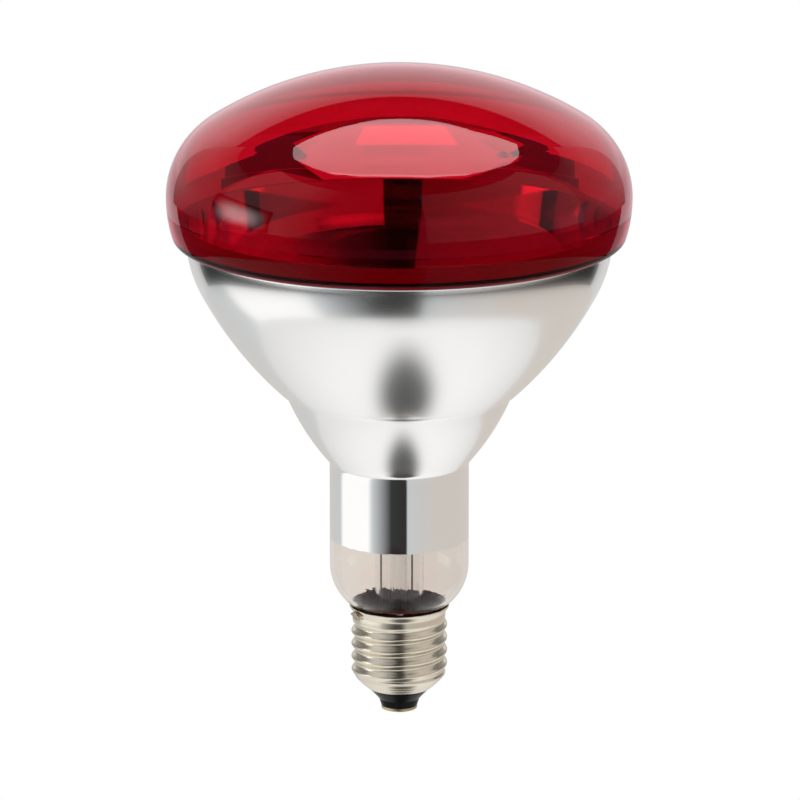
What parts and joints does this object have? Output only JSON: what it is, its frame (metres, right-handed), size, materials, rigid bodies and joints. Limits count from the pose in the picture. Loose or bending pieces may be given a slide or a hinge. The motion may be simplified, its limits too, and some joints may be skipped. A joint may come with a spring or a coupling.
{
  "type": "infrared heat lamp bulb",
  "caption": "Reflector heat lamp bulb with a domed ruby front, a silvered bowl, a clear narrow neck and a screw cap.",
  "frame": {"origin": "middle of the centre contact's underside, the lamp's lowest point", "axes": "+Z along the lamp's axis, from the screw cap towards the red front; the side lead leaves the stem on -X"},
  "size_m": [0.1252, 0.1252, 0.1782],
  "materials": {
    "clear_glass": "clear blown glass",
    "ruby_layer": "glossy transparent ruby layer",
    "reflector_film": "satin vapour-coated reflector",
    "stem_glass": "clear drawn glass",
    "nickel_wire": "drawn nickel-plated wire",
    "coil_wire": "close-wound coil",
    "support_metal": "drawn wire",
    "outer_wire": "dull drawn wire",
    "plated_shell": "bright plated rolled sheet",
    "cement": "baked brown cement",
    "black_glass": "glossy black glass",
    "contact_brass": "pressed sheet",
    "solder": "dull grey solder"
  },
  "bodies": {
    "root": {"glass_bulb": "clear_glass", "red_coating": "ruby_layer", "mirror_coating": "reflector_film", "stem_flare": "stem_glass", "exhaust_tube": "stem_glass", "support_rod": "stem_glass", "lead_left": "nickel_wire", "lead_right": "nickel_wire", "filament": "coil_wire", "support_wire_1": "support_metal", "support_wire_2": "support_metal", "support_wire_3": "support_metal", "support_wire_4": "support_metal", "support_wire_5": "support_metal", "shell_lead": "outer_wire", "contact_lead": "outer_wire", "cap_shell": "plated_shell", "capping_cement": "cement", "cap_insulator": "black_glass", "centre_contact": "contact_brass", "contact_solder": "solder", "side_solder": "solder"}
  },
  "joints": []
}
